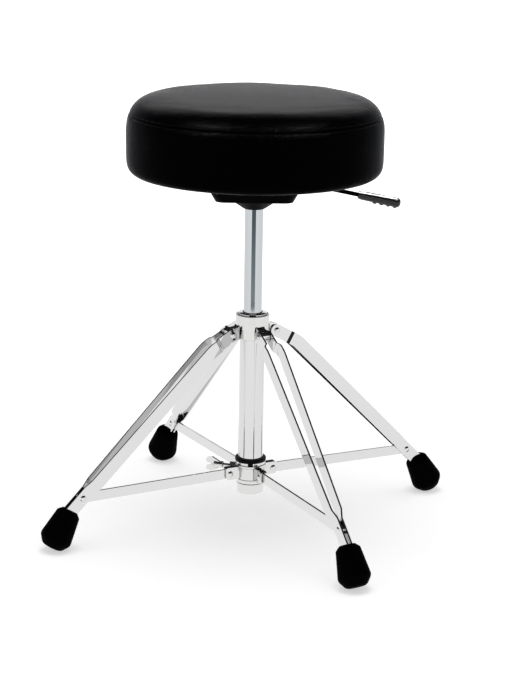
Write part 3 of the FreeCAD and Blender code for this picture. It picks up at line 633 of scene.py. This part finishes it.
# %% [markdown]
# ## Seam
# The top panel and the side band meet in a topstitched seam just under the shoulder. The thread
# pulls the vinyl into the foam there, so the form has a shallow valley with slight puckers, and
# two rows of short stitches run along it.

# %% Press the seam into the cushion
SEAM_Z = seat_high.z - 22.5 * MM
VALLEY_DEPTH, VALLEY_WIDTH = 0.7 * MM, 4.0 * MM
CREASE_DEPTH, CREASE_WIDTH = 1.5 * MM, 0.8 * MM
CUTS = [step * 0.4 * MM for step in range(-5, 6)]    # level cuts that carry the narrow crease
PUCKERS, PUCKER = 90, 0.30       # number round the seat, and their share of the valley


def surface_at(search, angle, z):
    """Point and normal of the cushion's side, at an angle round the column and a height."""
    outward = Vector((math.cos(angle), math.sin(angle), 0))
    point, normal, *_ = search.ray_cast(outward * (SEAT_R + 0.05) + Vector((0, 0, z)), -outward)
    return point, normal


def search_of(piece):
    """Search tree over a mesh's faces."""
    return BVHTree.FromPolygons([v.co for v in piece.data.vertices],
                                [tuple(p.vertices) for p in piece.data.polygons])


seam_point, _ = surface_at(search_of(cushion), 0.0, SEAM_Z)
seam_r = math.hypot(seam_point.x, seam_point.y)
form = bmesh.new()
form.from_mesh(cushion.data)
for offset in CUTS:
    height = SEAM_Z + offset
    near = [f for f in form.faces
            if min(v.co.z for v in f.verts) < height < max(v.co.z for v in f.verts)]
    corners, sides = {v for f in near for v in f.verts}, {e for f in near for e in f.edges}
    bmesh.ops.bisect_plane(form, geom=list(corners) + list(sides) + near, dist=1e-6,
                           plane_co=(0, 0, height), plane_no=(0, 0, 1))
form.normal_update()
moves = []
for vert in form.verts:
    r = math.hypot(vert.co.x, vert.co.y)
    away = math.hypot(r - seam_r, vert.co.z - SEAM_Z)
    if away < 3 * VALLEY_WIDTH:
        pucker = 1 + PUCKER * math.sin(PUCKERS * math.atan2(vert.co.y, vert.co.x))
        depth = VALLEY_DEPTH * pucker * math.exp(-(away / VALLEY_WIDTH) ** 2)
        depth += CREASE_DEPTH * math.exp(-(away / CREASE_WIDTH) ** 2)
        moves.append((vert, vert.normal * depth))
for vert, move in moves:
    vert.co -= move
for vert in form.verts:
    if vert.co.z < low + 2 * MM and math.hypot(vert.co.x, vert.co.y) < HEM_R:
        vert.co.z += HEM_RISE
form.to_mesh(cushion.data)
form.free()
cushion.data.materials.append(vinyl)
for polygon in cushion.data.polygons:
    polygon.use_smooth = True
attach(cushion, "seat")
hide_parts("seat_cover", "seat_foam")
print("seam radius", round(seam_r / MM, 1), "mm, points pressed", len(moves))

# %% Stitches
STITCH_PITCH, STITCH_LENGTH, THREAD_R = 5.0 * MM, 3.7 * MM, 0.42 * MM
ROW_OFFSETS = {"stitches_upper": 2.6 * MM, "stitches_lower": -2.6 * MM}


def stitch_row(name, z):
    """One row of short rounded stitches, each laid on the cushion's surface."""
    search = search_of(cushion)
    count = round(math.tau * seam_r / STITCH_PITCH)
    form = bmesh.new()
    for i in range(count):
        angle = math.tau * i / count
        point, normal = surface_at(search, angle, z)
        along = Vector((-math.sin(angle), math.cos(angle), 0))
        across = normal.cross(along)
        turn = Matrix((along, across, normal)).transposed().to_4x4()
        size = Matrix.Diagonal((STITCH_LENGTH / 2, THREAD_R, THREAD_R, 1))
        bead = bmesh.ops.create_uvsphere(form, u_segments=6, v_segments=5, radius=1.0)["verts"]
        bmesh.ops.transform(form, verts=bead, matrix=Matrix.Translation(point) @ turn @ size)
    row = new_piece(name, form, smooth=True)
    row.data.materials.append(thread)
    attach(row, "seat")
    return row


for name, offset in ROW_OFFSETS.items():
    row = stitch_row(name, SEAM_Z + offset)
    print(name, len(row.data.polygons), "faces")

# %% [markdown]
# ## Underside
# The cover is turned in under the board and gathered, because a straight band has too much
# length on the smaller circle. A thin pleated ring shows that hem, and staples hold the black
# lining inside it.

# %% Gathered hem and staples
HEM_OUT = SEAT_R - BOTTOM_ROUND - 4 * MM
PLEATS, PLEAT_DEPTH = 54, 1.1 * MM
TUCK = 0.9 * MM                  # how far the outer edge goes up into the cushion
VINYL_THICK = 0.9 * MM
strip = [(HEM_R - 0.4 * MM + (HEM_OUT - HEM_R) * i / 6, low - 0.2 * MM) for i in range(7)]
hem = spun_piece("gathered_hem", strip, steps=PLEATS * 6)
for vert in hem.data.vertices:
    r = math.hypot(vert.co.x, vert.co.y)
    inward = max(0.0, (HEM_OUT - r) / (HEM_OUT - HEM_R))
    pleat = abs(math.sin(PLEATS * math.atan2(vert.co.y, vert.co.x) / 2))
    vert.co.z -= PLEAT_DEPTH * inward * pleat - TUCK * (1 - inward)
thick = hem.modifiers.new("thickness", "SOLIDIFY")
thick.thickness = VINYL_THICK
hem.data.materials.append(vinyl)
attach(hem, "seat")

STAPLES = 30
STAPLE = Vector((10.0, 1.1, 0.6)) * MM
STAPLE_LINE = HEM_R - 6 * MM     # from the column
CROOKED = 0.12                   # radians that a staple is turned off the line at most
lining_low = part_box("dust_cover")[0].z
form = bmesh.new()
for i in range(STAPLES):
    angle = math.tau * (i + 0.5) / STAPLES
    wire = bmesh.ops.create_cube(form, size=1.0)["verts"]
    bmesh.ops.scale(form, vec=STAPLE, verts=wire)
    edges = list({e for v in wire for e in v.link_edges})
    bevelled = bmesh.ops.bevel(form, geom=edges, offset=0.25 * MM, segments=2, profile=0.5,
                               affect="EDGES", material=-1)
    wire = list({v for f in bevelled["faces"] for v in f.verts} | {v for v in wire if v.is_valid})
    off_line = Matrix.Rotation(CROOKED * math.sin(7 * i), 3, "Z")
    bmesh.ops.rotate(form, cent=(0, 0, 0), matrix=off_line, verts=wire)
    bmesh.ops.translate(form, vec=(0, -STAPLE_LINE, lining_low - 0.25 * MM), verts=wire)
    bmesh.ops.rotate(form, cent=(0, 0, 0), matrix=Matrix.Rotation(angle, 3, "Z"), verts=wire)
staples = new_piece("lining_staples", form, smooth=True)
staples.data.materials.append(zinc_plate)
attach(staples, "seat")
print("hem faces", len(hem.data.polygons), "staples", STAPLES)

# %% [markdown]
# ## Lamps for the blacks
# Vinyl and the grip are so dark that only what they mirror shows their form. Lamps that light
# nothing else draw it: one beyond the seat carries the sheen over its shoulder, two on the
# camera's side put a glint on the seam, and one over the grip draws a line of light on it.
# Light linking keeps them off the chrome, where they would show as hot spots.

# %% Lamps with receivers of their own
def lone_lamp(name, receiver, aim, bearing, elevation, distance, size, watts):
    """Area lamp that one piece alone receives. Bearing 0 is straight beyond it from the camera."""
    data = bpy.data.lights.new(name, "AREA")
    data.shape = "RECTANGLE"
    data.size, data.size_y = size
    data.energy = watts
    lamp = bpy.data.objects.new(name, data)
    lamp.matrix_world = (Matrix.Translation(aim)
                         @ Matrix.Rotation(HEADING + math.radians(bearing), 4, "Z")
                         @ Matrix.Rotation(math.radians(elevation - 90), 4, "X")
                         @ Matrix.Translation((0, 0, distance)))
    lamp.visible_diffuse = False
    lamp.visible_camera = False
    receivers = bpy.data.collections.new(name + " receivers")
    receivers.objects.link(receiver)
    lamp.light_linking.receiver_collection = receivers
    bpy.context.scene.collection.objects.link(lamp)
    return lamp


seat_middle = (0, 0, seat_high.z)
lone_lamp("shoulder_lamp", cushion, seat_middle, bearing=0, elevation=37, distance=2.0,
          size=(2.4, 1.1), watts=84.0)
for bearing in (134, 226):
    lone_lamp("seam_lamp", cushion, seat_middle, bearing, elevation=40, distance=2.5,
              size=(0.55, 0.25), watts=330.0)
grip_low, grip_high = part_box("lever_grip")
grip_lamp = lone_lamp("grip_lamp", nodes["lever_grip"], (grip_low + grip_high) / 2, bearing=0,
                      elevation=78, distance=1.0, size=(0.9, 1.1), watts=170.0)
grip_lamp.data.use_shadow = False       # the seat stands over the grip
grip_lamp.data.cycles.use_multiple_importance_sampling = False
